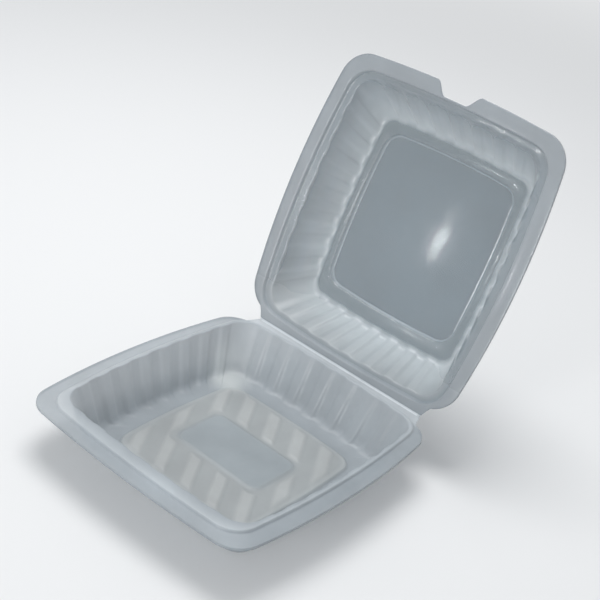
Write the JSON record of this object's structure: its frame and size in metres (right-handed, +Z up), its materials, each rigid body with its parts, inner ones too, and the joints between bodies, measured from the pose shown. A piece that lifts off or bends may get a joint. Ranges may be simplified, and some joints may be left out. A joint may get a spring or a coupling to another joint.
{
  "type": "hinged plastic take-away container",
  "caption": "Open clamshell food pack formed from one translucent plastic sheet, with fluted walls, stepped rims and a finger notch in the lid.",
  "frame": {"origin": "centre of the ring under the base on which the pack stands, at table level", "axes": "+X along the hinge crease, +Y from the front of the base towards the hinge, +Z up"},
  "size_m": [0.23, 0.3516, 0.2767],
  "materials": {
    "base_sheet": "translucent, slightly cloudy, softly glossy",
    "lid_sheet": "translucent, slightly cloudy, softly glossy"
  },
  "bodies": {
    "base": {"base_tray": "base_sheet"},
    "lid": {"lid": "lid_sheet"}
  },
  "joints": [
    {"name": "hinge", "type": "hinge", "parent": "base", "child": "lid", "pos_m": [0, 0.1173, 0.0407], "axis": [1, 0, 0], "range_deg": [-69, 108.6]}
  ]
}
